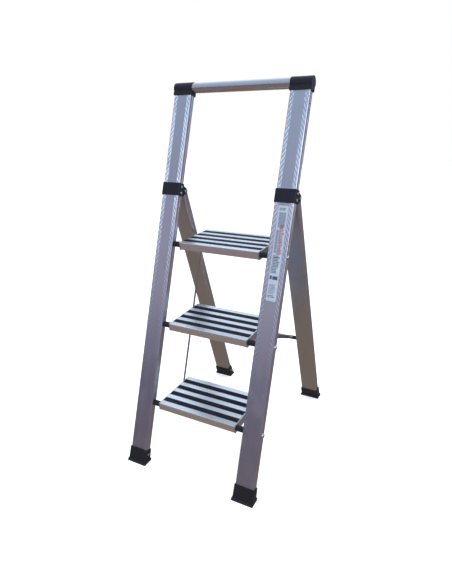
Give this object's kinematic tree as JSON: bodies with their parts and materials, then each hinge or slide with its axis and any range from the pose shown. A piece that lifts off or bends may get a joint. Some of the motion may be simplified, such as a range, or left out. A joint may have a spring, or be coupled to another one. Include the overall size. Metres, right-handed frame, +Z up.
{
  "type": "step stool",
  "caption": "Slim folding step stool with ribbed treads hinged between two leaning tube stiles, hinged rear legs, link rods, braces and a hand rail across the top.",
  "frame": {"origin": "on the floor, at the bottom centre of the bounding box of the open stool", "axes": "+Z up, X across the treads with the left side at -X, +Y from the user's side towards the rear legs"},
  "size_m": [0.4408, 0.6138, 1.1132],
  "materials": {
    "fluted_aluminium": "anodised, satin, fine vertical drawing lines",
    "rail_aluminium": "anodised, satin",
    "tread_aluminium": "mill drawn, ribbed",
    "plate_aluminium": "stamped, satin",
    "moulded_black": "fine grained",
    "foot_rubber": "matte",
    "grip_rubber": "matte, ribbed",
    "bright_steel": "plated, satin",
    "zinc_steel": "zinc plated, dull"
  },
  "bodies": {
    "front_frame": {"left_stile": "fluted_aluminium", "left_top_cap": "moulded_black", "left_hinge_bracket": "moulded_black", "left_front_foot": "foot_rubber", "left_pivot_pin": "bright_steel", "right_stile": "fluted_aluminium", "right_top_cap": "moulded_black", "right_hinge_bracket": "moulded_black", "right_front_foot": "foot_rubber", "right_pivot_pin": "bright_steel", "handrail": "rail_aluminium", "cap_screws": "bright_steel", "bracket_rivets": "bright_steel", "front_foot_rivets": "bright_steel", "axle_washers": "bright_steel", "bottom_step_axle": "bright_steel", "bottom_step_spacers": "moulded_black", "middle_step_axle": "bright_steel", "middle_step_spacers": "moulded_black", "top_step_axle": "bright_steel", "top_step_spacers": "moulded_black"},
    "rear_legs": {"left_rear_leg": "fluted_aluminium", "left_leg_plug": "moulded_black", "left_rear_foot": "foot_rubber", "right_rear_leg": "fluted_aluminium", "right_leg_plug": "moulded_black", "right_rear_foot": "foot_rubber", "rear_foot_rivets": "bright_steel", "crossbar": "zinc_steel", "crossbar_spacers": "moulded_black"},
    "link_rods": {"left_link_rod": "zinc_steel", "right_link_rod": "zinc_steel", "link_rod_pins": "bright_steel"},
    "braces": {"left_brace": "zinc_steel", "right_brace": "zinc_steel", "brace_pins": "bright_steel"},
    "bottom_step": {"bottom_step_tread": "tread_aluminium", "bottom_step_grip_strips": "grip_rubber", "bottom_step_bushes": "moulded_black", "bottom_step_screws": "bright_steel", "bottom_step_left_end_plate": "plate_aluminium", "bottom_step_right_end_plate": "plate_aluminium"},
    "middle_step": {"middle_step_tread": "tread_aluminium", "middle_step_grip_strips": "grip_rubber", "middle_step_bushes": "moulded_black", "middle_step_screws": "bright_steel", "middle_step_left_end_plate": "plate_aluminium", "middle_step_right_end_plate": "plate_aluminium"},
    "top_step": {"top_step_tread": "tread_aluminium", "top_step_grip_strips": "grip_rubber", "top_step_bushes": "moulded_black", "top_step_screws": "bright_steel", "top_step_left_end_plate": "plate_aluminium", "top_step_right_end_plate": "plate_aluminium"}
  },
  "joints": [
    {"name": "leg_fold", "type": "hinge", "parent": "front_frame", "child": "rear_legs", "pos_m": [0, 0.03147, 0.80269], "axis": [1, 0, 0], "range_deg": [-37.6, 0]},
    {"name": "top_step_fold", "type": "hinge", "parent": "front_frame", "child": "top_step", "pos_m": [0, -0.04914, 0.656], "axis": [1, 0, 0], "range_deg": [0, 69.8]},
    {"name": "middle_step_fold", "type": "hinge", "parent": "front_frame", "child": "middle_step", "pos_m": [0, -0.13561, 0.421], "axis": [1, 0, 0], "range_deg": [0, 69.8]},
    {"name": "bottom_step_fold", "type": "hinge", "parent": "front_frame", "child": "bottom_step", "pos_m": [0, -0.22207, 0.186], "axis": [1, 0, 0], "range_deg": [0, 69.8]},
    {"name": "link_rod_swing", "type": "hinge", "parent": "top_step", "child": "link_rods", "pos_m": [0, 0.08886, 0.642], "axis": [1, 0, 0], "range_deg": [-69.8, 0]},
    {"name": "brace_swing", "type": "hinge", "parent": "rear_legs", "child": "braces", "pos_m": [0, 0.20008, 0.28064], "axis": [1, 0, 0], "range_deg": [-48, 0]}
  ],
  "couplings": [
    {"joint": "top_step_fold", "follows": "leg_fold", "ratio": -1.8563},
    {"joint": "middle_step_fold", "follows": "leg_fold", "ratio": -1.8563},
    {"joint": "bottom_step_fold", "follows": "leg_fold", "ratio": -1.8563},
    {"joint": "link_rod_swing", "follows": "leg_fold", "ratio": 1.8563},
    {"joint": "brace_swing", "follows": "leg_fold", "ratio": 1.2764}
  ]
}
